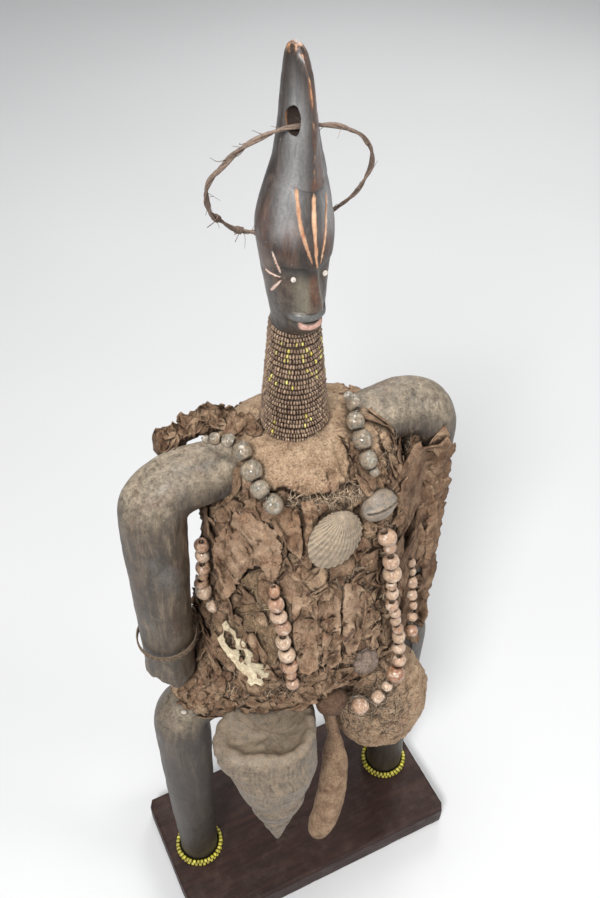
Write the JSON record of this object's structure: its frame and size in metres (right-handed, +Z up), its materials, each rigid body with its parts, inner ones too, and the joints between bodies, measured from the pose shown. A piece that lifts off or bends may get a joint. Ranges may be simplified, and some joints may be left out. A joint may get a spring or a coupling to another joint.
{
  "type": "namji doll",
  "caption": "Standing carved wooden doll with a tall crest, dressed in clay, torn leather, beads and shells, on a flat display board.",
  "frame": {"origin": "middle of the display board's underside", "axes": "+Z up along the figure, -Y is the doll's front, +X to the viewer's right from the front"},
  "size_m": [0.207, 0.1342, 0.6183],
  "materials": {
    "board_wood": "dark reddish-brown stained board, satin",
    "dark_wood": "near-black carved wood, polished by handling, dusty on top",
    "dusty_seed_beads": "dusty brown glass seed beads with a few yellow ones",
    "yellow_seed_beads": "yellow glass seed beads",
    "plant_cord": "dusty plant-fibre cord",
    "dark_fibre_wire": "dark twisted fibre, stiff",
    "dusty_clay": "dry earth, resin and fibre crust, matt and dusty",
    "trade_beads": "old pearly and grey glass trade beads, dusty",
    "grey_shell": "weathered grey sea shell",
    "dusty_snail_shell": "dusty land-snail shell with pale sutures",
    "dry_pod": "dry brown seed pod",
    "dusty_nut": "dusty brown nut",
    "cream_shard": "cream broken calabash or bone shard",
    "stiff_leather": "stiff torn leather soaked with clay"
  },
  "bodies": {
    "root": {"display_board": "board_wood", "wood_figure": "dark_wood", "neck_bead_wrap": "dusty_seed_beads", "ankle_beads_left": "yellow_seed_beads", "ankle_beads_right": "yellow_seed_beads", "arm_cord_band": "plant_cord", "crest_hoop": "dark_fibre_wire", "torso_clay": "dusty_clay", "hip_bundle": "dusty_clay", "beads_left_shoulder": "trade_beads", "beads_left_side": "trade_beads", "beads_middle": "trade_beads", "beads_right_shoulder": "trade_beads", "beads_right_front": "trade_beads", "beads_right_side": "trade_beads", "cockle_shell": "grey_shell", "cowrie_shell": "grey_shell", "resin_lump": "grey_shell", "snail_shell": "dusty_snail_shell", "pod": "dry_pod", "brown_nut": "dusty_nut", "cream_shard": "cream_shard", "chest_leather": "stiff_leather", "arm_leather": "stiff_leather", "shoulder_scraps": "stiff_leather"}
  },
  "joints": []
}
